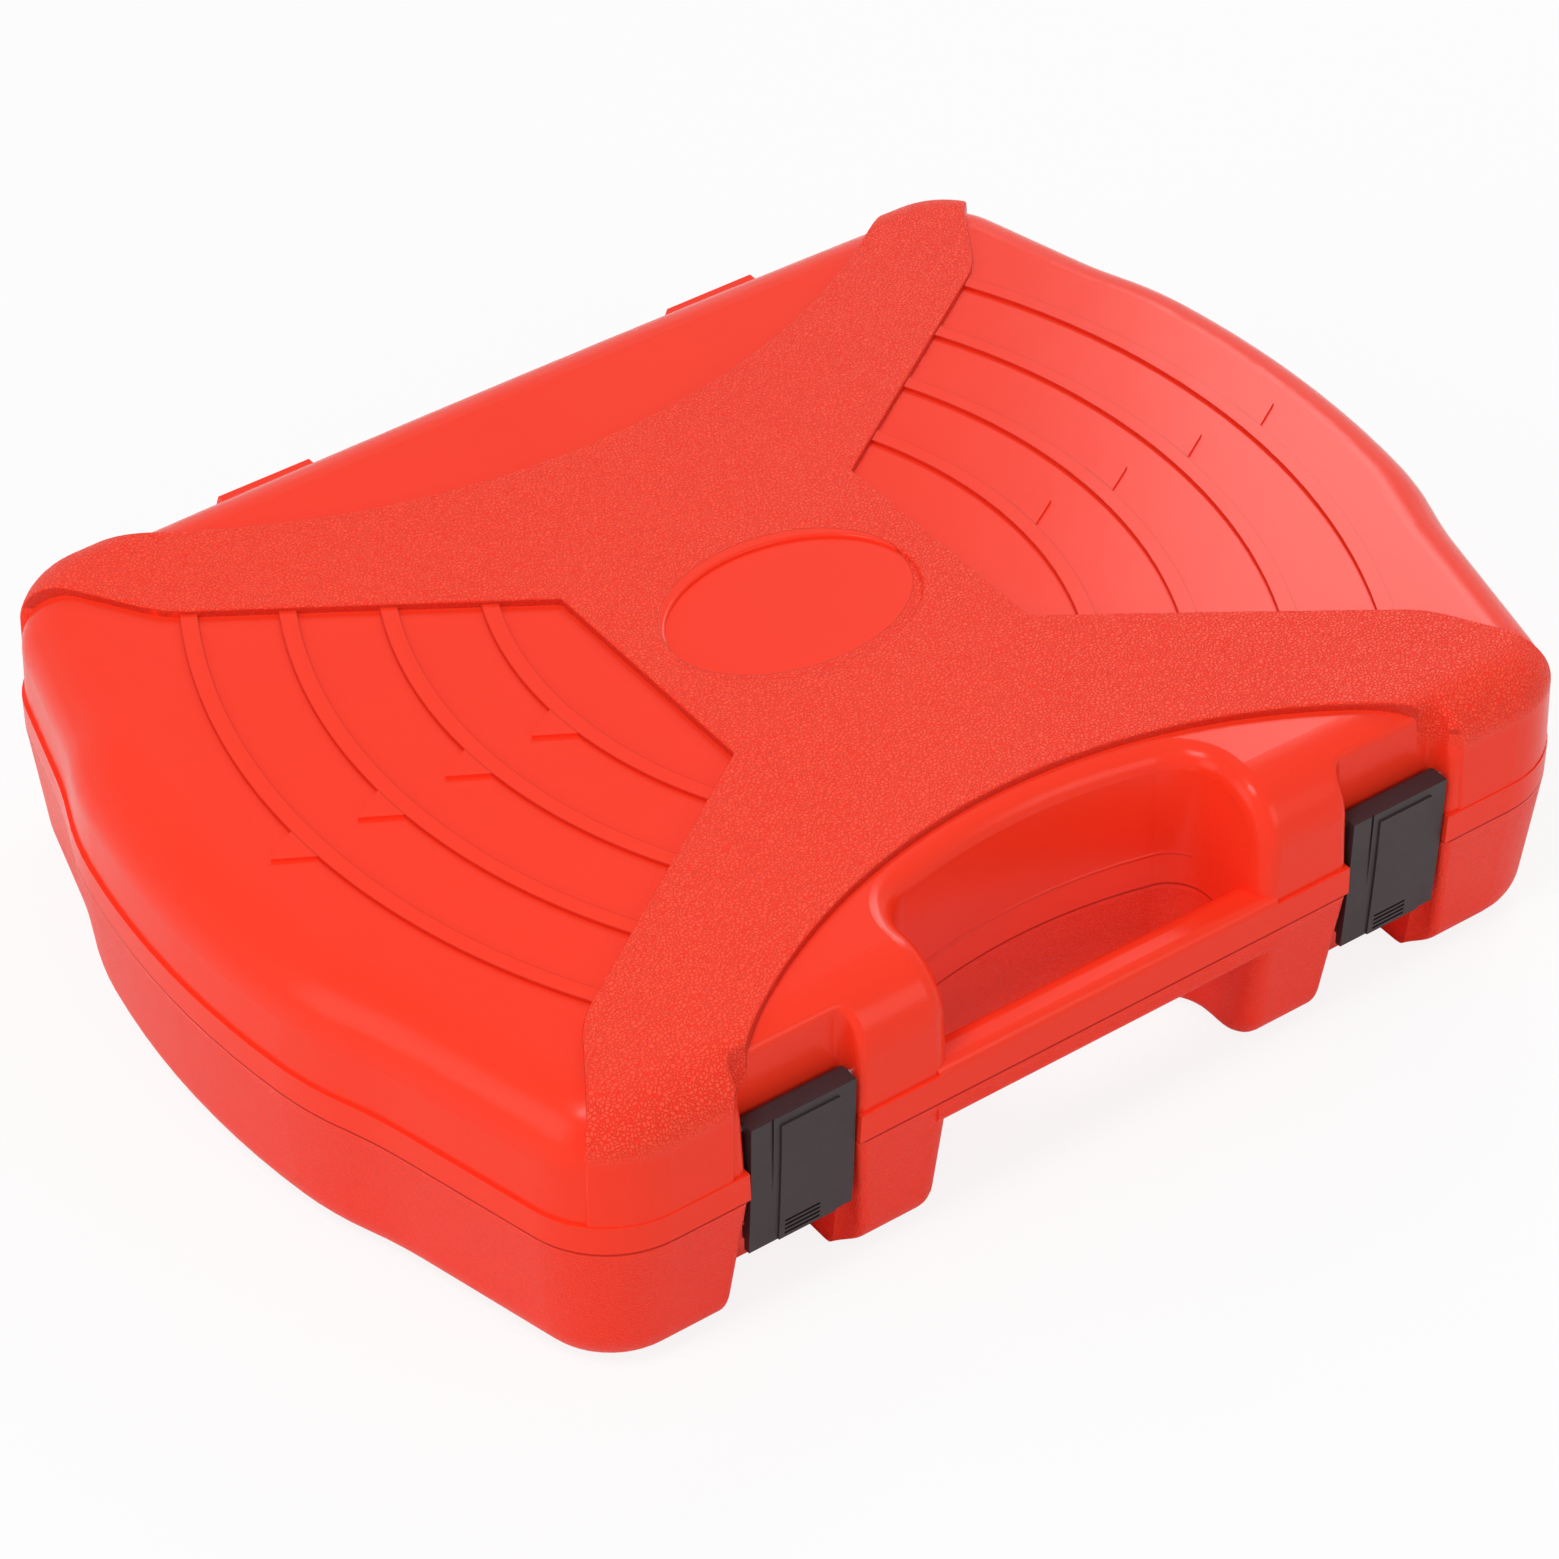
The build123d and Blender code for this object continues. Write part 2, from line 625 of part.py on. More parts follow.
def pocket_cutters(clearance):
    """Every pocket of the tray, grown by clearance."""
    cutters = [trough(place, segments, clearance) for place, segments in stowed]
    for x, y, radius, low_z in wells:
        depth = parting_z - low_z + clearance
        well = Pos(x, y, parting_z - depth / 2) * Cylinder(radius + clearance, depth)
        cutters.append(well)
    for low, high in slots:
        low_corner = [value - clearance for value in low]
        high_corner = (high[0] + clearance, high[1] + clearance, parting_z)
        cutters.append(box_between(low_corner, high_corner))
    return cutters


def stow(name, tool, segments, place):
    """Lay a tool, modelled along its own +X, in the tray and note its pocket."""
    nodes[name] = place * tool
    stowed.append((place, segments))


# ---------------------------------------------------------------- sockets
def hexagon(across_flats):
    """Hexagon by its width across flats."""
    return RegularPolygon(across_flats / 2, 6, major_radius=False)


def socket_tool(length, size, hex_end, drive, drive_end, drive_depth):
    """Socket along +X: square recess at its start, hexagon recess at its far end."""
    step = drive_depth + edge_break
    body = rod_x(drive_end / 2, 0, step, 0, 0) + rod_x(hex_end / 2, step, length, 0, 0)
    rims = [e for e in body.edges() if e.center().X < 0.01 or e.center().X > length - 0.01]
    body = chamfer(rims, edge_break)
    hex_depth = length - drive_depth - 2 * edge_break
    body = body - extrude(Plane.YZ.offset(length - hex_depth) * hexagon(size + hex_clearance), hex_depth)
    square = drive + 2 * drive_clearance
    body = body - Pos(drive_depth / 2, 0, 0) * Box(drive_depth, square, square)
    return body - rod_x(min(size, drive) * 0.45, 0, length, 0, 0)


def socket_segments(length, hex_end, drive_end, drive_depth):
    """Pocket segments of a socket."""
    step = drive_depth + edge_break
    return [(0, step, drive_end / 2), (step, length, hex_end / 2)]


def socket_row(prefix, sizes, length, drive, least_drive_end, drive_depth, row_y):
    """Row of sockets side by side, lying across the case, drive ends to the back; gives its end."""
    x = row_start_x
    for size, hex_end in sizes.items():
        drive_end = max(least_drive_end, hex_end - 2 * edge_break)
        half_width = max(hex_end, drive_end) / 2
        x += half_width
        tool = socket_tool(length, size, hex_end, drive, drive_end, drive_depth)
        place = Pos(x, row_y + length / 2, tool_axis_z) * Rot(0, 0, -90)
        stow(f"{prefix}_{size}mm", tool, socket_segments(length, hex_end, drive_end, drive_depth), place)
        x += half_width + tool_spacing
    row_end_x = x - tool_spacing
    groove_low = (row_start_x, row_y - finger_groove_width / 2, deck_z - finger_groove_depth)
    slots.append((groove_low, (row_end_x, row_y + finger_groove_width / 2, deck_z)))
    return row_end_x


def spark_plug_socket(start_x):
    """Long socket with a rubber insert that holds the plug; gives the socket's end."""
    place = Pos(start_x, small_socket_row_y, tool_axis_z)
    tool = socket_tool(spark_length, spark_size, spark_diameter,
                       large_drive, spark_diameter, large_drive_depth)
    segments = socket_segments(spark_length, spark_diameter, spark_diameter, large_drive_depth)
    stow("spark_plug_socket_16mm", tool, segments, place)
    seat = large_drive_depth + 2 * edge_break
    insert = rod_x(spark_size / 2, seat, seat + spark_insert_length, 0, 0)
    bore = rod_x(spark_size / 2 - spark_insert_wall, 0, spark_length, 0, 0)
    nodes["spark_plug_insert"] = place * (insert - bore)
    return start_x + spark_length


# ---------------------------------------------------------------- bars and driver
def bar_tool(length, radius, socket_radius, socket_length, drive, drive_depth, stub):
    """Extension bar along +X: square socket at its start, square stub at its end."""
    body = rod_x(socket_radius, 0, socket_length, 0, 0)
    rims = [e for e in body.edges() if e.geom_type == GeomType.CIRCLE]
    body = chamfer(rims, edge_break)
    body = body + rod_x(radius, socket_length - edge_break, length - drive_depth, 0, 0)
    body = body + box_between((length - drive_depth - 1, -stub / 2, -stub / 2), (length, stub / 2, stub / 2))
    square = drive + 2 * drive_clearance
    return body - Pos(drive_depth / 2, 0, 0) * Box(drive_depth, square, square)


def bar_segments(length, radius, socket_radius, socket_length, drive_depth, stub):
    """Pocket segments of an extension bar."""
    stub_start = length - drive_depth - 1
    return [(0, socket_length, socket_radius), (socket_length, stub_start, radius),
            (stub_start, length, max(radius, stub * math.sqrt(2) / 2))]


def stow_bar(name, length, radius, socket_radius, socket_length, drive, drive_depth, stub, place):
    """Extension bar or adaptor in its pocket."""
    tool = bar_tool(length, radius, socket_radius, socket_length, drive, drive_depth, stub)
    segments = bar_segments(length, radius, socket_radius, socket_length, drive_depth, stub)
    stow(name, tool, segments, place)


def grip_body(length, radius, bore_radius, bore_depth):
    """Moulded hand grip along +X, waisted near its front, with a blind bore for the tang."""
    waist = radius * 0.8
    bends = [(0, waist), (length * 0.1, radius * 0.95), (length * 0.25, waist),
             (length * 0.65, radius), (length, radius * 0.85)]
    side = make_face(Polyline((0, 0), *bends, (length, 0), close=True))
    for x, r in bends:
        at_bend = [v for v in side.vertices() if abs(v.X - x) < 0.01 and abs(v.Y - r) < 0.01]
        end = x in (0, length)
        side = fillet(at_bend, radius / 4 if end else radius)
    body = revolve(Plane.XY * side, Axis.X)
    for turn in range(6):
        flute = rod_x(radius * 0.4, length * 0.4, length * 0.85, 0, radius * 1.28)
        body = body - Rot(turn * 60, 0, 0) * flute
    return body - rod_x(bore_radius, 0, bore_depth, 0, 0)


def make_spinner(start_x):
    """Spinner handle: square-ended shaft with a moulded grip, its tip to the left."""
    place = Pos(start_x, small_ratchet_row_y, tool_axis_z)
    grip_start = spinner_length - spinner_grip_length
    stub = small_drive / 2
    shaft = rod_x(spinner_shaft_radius, small_drive_depth, grip_start + spinner_tang_length, 0, 0)
    shaft = shaft + box_between((0, -stub, -stub), (small_drive_depth + 1, stub, stub))
    tip_radius = max(spinner_shaft_radius, stub * math.sqrt(2))
    segments = [(0, grip_start, tip_radius), (grip_start, spinner_length, spinner_grip_radius)]
    stow("spinner_shaft", shaft, segments, place)
    grip = grip_body(spinner_grip_length, spinner_grip_radius, spinner_shaft_radius, spinner_tang_length)
    nodes["spinner_grip"] = place * Pos(grip_start, 0, 0) * grip


# ---------------------------------------------------------------- ratchets
def disc(radius, low_z, high_z):
    """Upright round solid about the head's axis."""
    return Pos(0, 0, (low_z + high_z) / 2) * Cylinder(radius, high_z - low_z)


def toothed_disc(radius, depth, teeth, low_z, high_z):
    """Ratchet gear with plain V teeth."""
    points = []
    for step in range(2 * teeth):
        r = radius if step % 2 else radius - depth
        angle = math.pi * step / teeth
        points.append((r * math.cos(angle), r * math.sin(angle)))
    return extrude(Pos(0, 0, low_z) * make_face(Polyline(*points, close=True)), high_z - low_z)


def make_ratchet(prefix, spec, row_y):
    """Ratchet lying flat, its square drive down and its reversing lever up.

    Its pieces are built about the head's axis, with Z as in the case, and then moved into place.
    """
    place = Pos(row_start_x + spec.head_radius, row_y, 0)
    low = tool_axis_z - spec.head_height / 2
    high = tool_axis_z + spec.head_height / 2
    floor_z = low + spec.floor
    cover_z = high - spec.cover_thickness
    lever_z = high + moving_gap
    lever_top = lever_z + spec.lever_height
    grip_start = spec.length - spec.head_radius - spec.grip_length
    tang_end = grip_start + spec.grip_length * 0.85

    head = disc(spec.head_radius, low, high)
    head = fillet(head.edges().filter_by(GeomType.CIRCLE), spec.head_radius / 10)
    neck = Pos(spec.head_radius * 1.2, 0, tool_axis_z) * Rot(0, 90, 0) * Cone(
        spec.shank_radius * 1.5, spec.shank_radius, spec.head_radius)
    handle = head + neck + rod_x(spec.shank_radius, spec.head_radius, grip_start, 0, tool_axis_z)
    handle = handle + rod_x(spec.tang_radius, grip_start, tang_end, 0, tool_axis_z)
    pawl_room = spec.pawl_place + spec.pawl_thickness / 2 + 2 * moving_gap
    half_room = spec.pawl_width / 2 + 2 * moving_gap
    handle = handle - disc(spec.gear_radius + moving_gap, floor_z, cover_z)
    handle = handle - box_between((0, -half_room, floor_z), (pawl_room, half_room, cover_z))
    handle = handle - disc(spec.journal_radius + shaft_clearance, low, floor_z)
    handle = handle - disc(spec.cover_radius, cover_z, high)
    pawl_spot = Pos(spec.pawl_place, 0, 0)
    handle = handle + pawl_spot * disc(spec.pawl_pin_radius, floor_z - 1, cover_z)

    gear = toothed_disc(spec.gear_radius, spec.tooth_depth, spec.gear_teeth,
                        floor_z + moving_gap, cover_z - moving_gap)
    gear = gear + disc(spec.journal_radius, low, floor_z + moving_gap + 1)
    half = spec.drive / 2
    gear = gear + box_between((-half, -half, low - spec.drive_depth), (half, half, low + 1))
    button_bore_z = cover_z - 2 * moving_gap - spec.button_stroke
    gear = gear - disc(spec.button_radius + moving_gap, button_bore_z, cover_z)

    pawl = box_between((-spec.pawl_thickness / 2, -spec.pawl_width / 2, floor_z + moving_gap),
                       (spec.pawl_thickness / 2, spec.pawl_width / 2, cover_z - moving_gap))
    pawl = pawl - disc(spec.pawl_pin_radius + shaft_clearance, low, high)

    cover = disc(spec.cover_radius, cover_z, high)
    cover = cover - disc(spec.hub_radius + shaft_clearance, cover_z, high)
    screws = []
    for side in (-1, 1):
        spot = Pos(0, side * spec.screw_place, 0)
        shaft_end = cover_z - 2 * spec.cover_thickness
        head_z = high - spec.cover_thickness / 2
        screw = disc(spec.screw_radius, shaft_end, head_z) + disc(spec.screw_head_radius, head_z, high)
        cover = cover - spot * screw
        handle = handle - spot * disc(spec.screw_radius, shaft_end, cover_z)
        slot = Pos(0, 0, high) * Box(2 * spec.screw_head_radius, spec.screw_radius / 2, spec.screw_radius)
        screws.append(spot * (screw - slot))

    lever = disc(spec.hub_radius, cover_z, lever_z) + disc(spec.lever_radius, lever_z, lever_top)
    half_width = spec.lever_width / 2
    tab = box_between((0, -half_width, lever_z), (spec.lever_reach, half_width, lever_top))
    tab_ends = [e for e in tab.edges().filter_by(Axis.Z) if e.center().X > spec.lever_reach - 0.1]
    lever = lever + fillet(tab_ends, spec.lever_width / 3)
    lever = lever - disc(spec.button_radius + shaft_clearance, cover_z, lever_top)
    button = disc(spec.button_radius, cover_z, lever_top + 2 * spec.button_stroke)
    crown_edge = [e for e in button.edges() if e.center().Z > lever_top + spec.button_stroke]
    button = fillet(crown_edge, spec.button_radius / 3)

    grip = grip_body(spec.grip_length, spec.grip_radius, spec.tang_radius, tang_end - grip_start)
    nodes[f"{prefix}_handle"] = place * handle
    nodes[f"{prefix}_grip"] = place * Pos(grip_start, 0, tool_axis_z) * grip
    nodes[f"{prefix}_drive_gear"] = place * gear
    nodes[f"{prefix}_pawl"] = place * pawl_spot * pawl
    nodes[f"{prefix}_cover_plate"] = place * cover
    nodes[f"{prefix}_cover_screws"] = place * Compound(children=screws)
    nodes[f"{prefix}_reversing_lever"] = place * lever
    nodes[f"{prefix}_release_button"] = place * button

    neck_end = spec.head_radius * 1.7
    axis_place = place * Pos(0, 0, tool_axis_z)
    stowed.append((axis_place, [(spec.head_radius * 0.8, neck_end, spec.shank_radius * 1.5),
                                (neck_end, grip_start, spec.shank_radius),
                                (grip_start, grip_start + spec.grip_length, spec.grip_radius)]))
    head_x = row_start_x + spec.head_radius
    wells.append((head_x, row_y, spec.head_radius, low))
    wells.append((head_x, row_y, half * math.sqrt(2) + 2 * moving_gap, low - spec.drive_depth))


# ---------------------------------------------------------------- bits
def bit_blank():
    """Hexagon shank of a screwdriver bit with a round neck, standing on z = 0."""
    shank = extrude(hexagon(bit_width), bit_shank)
    return shank + disc(bit_neck_radius, bit_shank, bit_shank + bit_neck)


def bit_tip(kind, size):
    """Working end of one bit on top of its blank."""
    base_z = bit_shank + bit_neck
    if kind == "slotted":
        return Pos(0, 0, (base_z + bit_length) / 2) * Box(size, bit_blade, bit_length - base_z)
    if kind == "hex":
        return extrude(Pos(0, 0, base_z) * hexagon(size), bit_length - base_z)
    if kind == "star":
        flower = Circle(size / 3)
        for turn in range(6):
            flower = flower + Rot(0, 0, turn * 60) * Pos(size / 3, 0) * Circle(size / 8)
        return extrude(Pos(0, 0, base_z) * flower, bit_length - base_z)
    cone = Pos(0, 0, (base_z + bit_length) / 2) * Cone(bit_neck_radius, size / 8, bit_length - base_z)
    for turn in range(4):
        notch = Rot(0, 0, turn * 90) * Pos(size / 3, size / 3, bit_length - 1) * Box(size / 2, size / 2, size)
        cone = cone - notch
    return cone


def make_bits(start_x):
    """Bit holder with a row of small and a row of large bits, one pair of each kind."""
    width = bit_columns * bit_pitch + bit_holder_margin / 2
    depth = bit_rows * bit_pitch + bit_holder_margin / 2
    low_z = deck_z - bit_holder_sink
    place = Pos(start_x + width / 2, small_socket_row_y, low_z)
    holder = Pos(0, 0, bit_holder_height / 2) * Box(width, depth, bit_holder_height)
    holder = fillet(holder.edges().filter_by(Axis.Z), bit_holder_margin / 3)
    bit_z = bit_holder_height - bit_seat_depth
    kinds = ("slotted", "cross", "hex", "star")
    for column, kind in enumerate(kinds):
        bits = []
        for row, size in enumerate(bit_sizes):
            across = (column - (bit_columns - 1) / 2) * bit_pitch
            along = (row - (bit_rows - 1) / 2) * bit_pitch
            spot = Pos(across, along, bit_z)
            holder = holder - spot * extrude(hexagon(bit_width), bit_seat_depth)
            bits.append(place * spot * (bit_blank() + bit_tip(kind, size)))
        nodes[f"bits_{kind}"] = Compound(children=bits)
    nodes["bit_holder"] = place * holder
    corner = (start_x, small_socket_row_y - depth / 2, low_z)
    slots.append((corner, (start_x + width, small_socket_row_y + depth / 2, deck_z)))


# ---------------------------------------------------------------- assembly
def make_tools():
    """Lay every tool in the tray; a row shared by several starts each after the one before it."""
    large_end = socket_row("socket_half_inch", large_sockets, large_socket_length, large_drive,
                           large_drive_end, large_drive_depth, large_socket_row_y)
    small_end = socket_row("socket_quarter_inch", small_sockets, small_socket_length, small_drive,
                           small_drive_end, small_drive_depth, small_socket_row_y)
    spark_end = spark_plug_socket(small_end + spark_spacing)
    make_bits(spark_end + bit_spacing)
    make_ratchet("ratchet_half_inch", large_ratchet, large_ratchet_row_y)
    make_ratchet("ratchet_quarter_inch", small_ratchet, small_ratchet_row_y)
    make_spinner(row_start_x + small_ratchet.length + spinner_spacing)
    for name, length, row_y in (("extension_bar_long", long_bar_length, long_bar_row_y),
                                ("extension_bar_short", short_bar_length, short_bar_row_y)):
        stow_bar(name, length, large_bar_radius, large_bar_socket_radius, large_bar_socket_length,
                 large_drive, large_drive_depth, large_drive, Pos(row_start_x, row_y, tool_axis_z))
    stow_bar("extension_bar_thin", thin_bar_length, thin_bar_radius, thin_bar_socket_radius,
             thin_bar_socket_length, small_drive, small_drive_depth, small_drive,
             Pos(row_start_x + short_bar_length + thin_bar_spacing, short_bar_row_y, tool_axis_z))
    stow_bar("drive_adaptor", adaptor_length, large_bar_radius, large_bar_socket_radius,
             adaptor_socket_length, large_drive, large_drive_depth, adaptor_drive,
             Pos(large_end + adaptor_spacing, large_socket_row_y, tool_axis_z))


def make_case():
    """Both halves with their hinge pins, latches and latch pins."""
    nodes["base_shell"] = make_base_shell(pocket_cutters(seat_gap), pocket_cutters(seat_gap + wall))
    nodes["lid_shell"] = make_lid_shell()
    half_width = hinge_width / 2
    nodes["hinge_pins"] = Compound(children=[
        rod_x(hinge_pin_radius, side * hinge_centre_x - half_width, side * hinge_centre_x + half_width,
              hinge_axis_y, parting_z) for side in (-1, 1)])
    nodes["latch_pins"] = Compound(children=[
        rod_x(latch_pin_radius, *latch_pin_span(side), latch_pivot_y, latch_pivot_z) for side in (-1, 1)])
    nodes["latch_left"] = make_latch(-latch_centre_x)
    nodes["latch_right"] = make_latch(latch_centre_x)


make_tools()
make_case()
os.makedirs("parts", exist_ok=True)
for name, shape in nodes.items():
    export_step(shape, f"parts/{name}.step")
print(f"{len(nodes)} nodes written")
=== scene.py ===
"""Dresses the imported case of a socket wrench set: red moulded halves, black latches and the tools inside."""
import json
import math

import bpy
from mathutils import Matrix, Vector

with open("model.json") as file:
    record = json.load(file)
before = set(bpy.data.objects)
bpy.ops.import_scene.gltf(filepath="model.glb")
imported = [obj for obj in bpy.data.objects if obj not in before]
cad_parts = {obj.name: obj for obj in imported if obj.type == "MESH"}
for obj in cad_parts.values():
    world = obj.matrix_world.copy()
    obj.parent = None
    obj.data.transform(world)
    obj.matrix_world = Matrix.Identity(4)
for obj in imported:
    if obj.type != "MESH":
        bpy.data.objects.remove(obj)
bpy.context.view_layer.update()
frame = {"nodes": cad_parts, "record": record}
parts = frame["nodes"]

# ---------------------------------------------------------------- camera
# The camera stands off the case's front left corner and looks down on it through a long lens,
# so the lid's far edges run almost parallel to its near ones.
turn = math.radians(-36.07)
tilt = math.radians(40.35)
aim = Vector((0.0066, 0.0122, 0.0162))
stand_off = 1.5012
towards_camera = Vector((math.sin(turn) * math.cos(tilt), -math.cos(turn) * math.cos(tilt), math.sin(tilt)))
camera = bpy.data.objects.new("camera", bpy.data.cameras.new("camera"))
camera.data.lens = 123.28
camera.location = aim + towards_camera * stand_off
camera.rotation_euler = (-towards_camera).to_track_quat("-Z", "Y").to_euler()
bpy.context.scene.collection.objects.link(camera)
bpy.context.scene.camera = camera
bpy.context.scene.view_settings.view_transform = "Standard"


# ---------------------------------------------------------------- studio
# A white table in a bright room: a soft lamp above the front left, broad ones to the left and in
# front, and one behind to the right. Table and room look white; the table keeps a faint shadow.
lamps = {                       # place, size and watts of each square lamp
    "lamp_overhead": ((-0.75, -0.30, 1.5), 0.5, 10.3),
    "lamp_left": ((-1.9, 0.1, 0.9), 1.2, 9.0),
    "lamp_front": ((0.6, -1.9, 0.9), 1.0, 7.5),
    "lamp_back_right": ((1.35, 0.85, 1.13), 0.7, 9.0),
}
lamp_target = Vector((0, 0, 0.05))      # the middle of the case
room_light_on_case = 0.42
white = 1.0
table_half = 6.0
table_grey = 0.88
table_glow_share = 0.86         # how much of the table's own shading the camera's white hides


def new_finish(name):
    """Makes a node material. Returns it, its Principled shader and a function that adds wired nodes."""
    material = bpy.data.materials.new(name)
    material.use_nodes = True
    tree = material.node_tree

    def wire(kind, *values, **settings):
        """Adds a node of that kind, sets its properties, then fills its inputs in order.

        A value may be a socket to link, a constant, or None to leave the input as it is.
        """
        item = tree.nodes.new("ShaderNode" + kind)
        for key, value in settings.items():
            setattr(item, key, value)
        for socket, value in zip(item.inputs, values):
            if isinstance(value, bpy.types.NodeSocket):
                tree.links.new(value, socket)
            elif value is not None:
                socket.default_value = value
        return item

    return material, tree.nodes.get("Principled BSDF"), wire


for name, (place, size, watts) in lamps.items():
    lamp = bpy.data.lights.new(name, "AREA")
    lamp.size = size
    lamp.energy = watts
    holder = bpy.data.objects.new(name, lamp)
    holder.location = place
    holder.rotation_euler = (lamp_target - Vector(place)).to_track_quat("-Z", "Y").to_euler()
    bpy.context.scene.collection.objects.link(holder)

room = bpy.data.worlds.new("room")
room.use_nodes = True
bpy.context.scene.world = room
room_light = room.node_tree.nodes["Background"]
link = room.node_tree.links.new
rays = room.node_tree.nodes.new("ShaderNodeLightPath")
seen_or_mirrored = room.node_tree.nodes.new("ShaderNodeMath")
seen_or_mirrored.operation = "MAXIMUM"
shown = room.node_tree.nodes.new("ShaderNodeMath")
shown.operation = "MAXIMUM"
level = room.node_tree.nodes.new("ShaderNodeMapRange")
level.inputs["To Min"].default_value = room_light_on_case
level.inputs["To Max"].default_value = white
link(rays.outputs["Is Camera Ray"], seen_or_mirrored.inputs[0])
link(rays.outputs["Is Glossy Ray"], seen_or_mirrored.inputs[1])
link(seen_or_mirrored.outputs[0], shown.inputs[0])
link(rays.outputs["Is Transmission Ray"], shown.inputs[1])
link(shown.outputs[0], level.inputs["Value"])
link(level.outputs["Result"], room_light.inputs["Strength"])
room_light.inputs["Color"].default_value = (white, white, white, 1.0)

table_mesh = bpy.data.meshes.new("table")
table_mesh.from_pydata([(-table_half, -table_half, 0), (table_half, -table_half, 0),
                        (table_half, table_half, 0), (-table_half, table_half, 0)], [], [(0, 1, 2, 3)])
table = bpy.data.objects.new("table", table_mesh)
bpy.context.scene.collection.objects.link(table)
table_white, table_shader, wire = new_finish("table_white")
table_shader.inputs["Base Color"].default_value = (table_grey, table_grey, table_grey, 1.0)
table_shader.inputs["Roughness"].default_value = 0.8
glow = wire("Emission", (white, white, white, 1.0), 1.0)
path = wire("LightPath")
lit_share = wire("Math", path.outputs["Is Camera Ray"], table_glow_share, operation="MULTIPLY")
surface = wire("MixShader", lit_share.outputs[0], table_shader.outputs[0], glow.outputs[0])
table_white.node_tree.links.new(surface.outputs[0],
                                table_white.node_tree.nodes["Material Output"].inputs["Surface"])
table_mesh.materials.append(table_white)


# ---------------------------------------------------------------- case halves
# Base and lid are blow-moulded in red polyethylene as closed double walls. The mould gives the
# lid's X panel and the base's outside a leather grain; fields, walls and tray come out smooth.
case_red = (0.935, 0.040, 0.014, 1.0)
# The grained panel's paler red is painted sheen; it also makes up for the painted shade between its pebbles.
grained_red_with_painted_sheen = (1.0, 0.076, 0.034, 1.0)
pebble_shade_and_mottle_red = (0.90, 0.012, 0.003, 1.0)       # painted shade between the pebbles of the grain, and the deeper tone of the faint flow-mark patches
painted_shade_red = (0.34, 0.006, 0.004, 1.0)            # painted shade along the parting line, at the X panel's step and at the ribs' feet

parting_height = 0.0455
rim_below_parting = 0.0012      # the base's outside is grained from this far below the parting
tray_floor = 0.004
base_grain_share = 0.4          # the base's grain against the X panel's
interior_half_length = 0.187    # to the middle of the rim, at the case's waist
interior_narrowing = 0.21       # from the waist to the corners, per metre of depth
interior_middle_y = 0.020
interior_half_depth = 0.117

pattern_y = -0.0038             # where the X panel's middle lies
waist_half_width = 0.049
arm_outline = [(0.049, 0.040), (0.13302, 0.09617), (0.13755, 0.09994), (0.14118, 0.10457),
               (0.15271, 0.12295), (0.15408, 0.12494), (0.15562, 0.12680), (0.190, 0.165)]
outline_span = 0.2              # length of the box that holds an arm's outline
outline_end = 0.8               # the outline's height at that length, in spans
panel_arcs = ((-0.2724, 0.177), (0.3021, 0.213))        # front and back: middle's y and radius
oval_half_length = 0.038
oval_half_width = 0.0275
oval_blend = 0.985              # share of the oval at which its smooth floor begins
panel_blend = 0.0003
grain_low, grain_high = 0.0735, 0.0800      # the grain runs out on the round above the front wall

rib_places = (0.0720, 0.0990, 0.1260, 0.1525)
rib_centre_setback = 0.046
rib_width = 0.0048
rib_crease = 0.0004             # half the width of the painted shade at a rib's foot
side_field_slope = 0.9          # a side field lies below this slope, seen from the panel's middle

ledge_height = 0.056            # a flash line left by the mould round the finger opening
ledge_rise = 2.0
opening_half_length = 0.049
opening_middle_y = -0.112
opening_half_depth = 0.012

pebbles_per_metre = 950.0
pebble_crease = 0.22            # share of a pebble taken by the crease round it
pebble_wander = 0.0016          # how far noise bends the pebbles out of shape
grain_rise = 1.3
swell_rise = 0.8
skin_rise = 0.06
crease_shade = 0.75
mottle_shade = 0.06
seam_shade = 0.7
line_core, line_edge = 0.0002, 0.0006       # half widths of a moulding line, full and faded
upright_limit = 0.6             # faces that tilt up less than this count as upright
step_shade = 1.8                # painted shade at the X panel's step: times mask * (1 - mask), which is 0.25 at most
rib_crease_shade = 0.4
smooth_roughness, grained_roughness = 0.23, 0.40


def math_step(wire, operation, *values):
    """One Math node; returns its result."""
    return wire("Math", *values, operation=operation).outputs[0]


def ramp(wire, value, low, high):
    """0 below low, 1 above high, smooth between."""
    item = wire("MapRange", value, low, high, 0.0, 1.0, interpolation_type="SMOOTHSTEP")
    return item.outputs["Result"]


def moulding_line(wire, off_line, strength):
    """The strength on the line itself, falling evenly to 0 beside it."""
    return wire("MapRange", off_line, line_core, line_edge, strength, 0.0).outputs["Result"]


def blend(wire, share, first, second):
    """The first colour where the share is 0, the second where it is 1."""
    return wire("Mix", share, None, None, None, None, None, first, second, data_type="RGBA").outputs[2]


def add_bump(material, shader, wire, height, strength, distance):
    """Tilts the shader's normal by the height."""
    bump = wire("Bump")
    bump.inputs["Strength"].default_value = strength
    bump.inputs["Distance"].default_value = distance
    material.node_tree.links.new(height, bump.inputs["Height"])
    material.node_tree.links.new(bump.outputs[0], shader.inputs["Normal"])


def inside_case(wire, x, y):
    """1 over the interior: inside the rim's middle line, which narrows from the waist to the corners."""
    narrowing = math_step(wire, "MULTIPLY", math_step(wire, "ABSOLUTE", y), interior_narrowing)
    edge = math_step(wire, "SUBTRACT", interior_half_length, narrowing)
    in_x = math_step(wire, "LESS_THAN", math_step(wire, "ABSOLUTE", x), edge)
    in_y = math_step(wire, "COMPARE", y, interior_middle_y, interior_half_depth)
    return math_step(wire, "MULTIPLY", in_x, in_y)


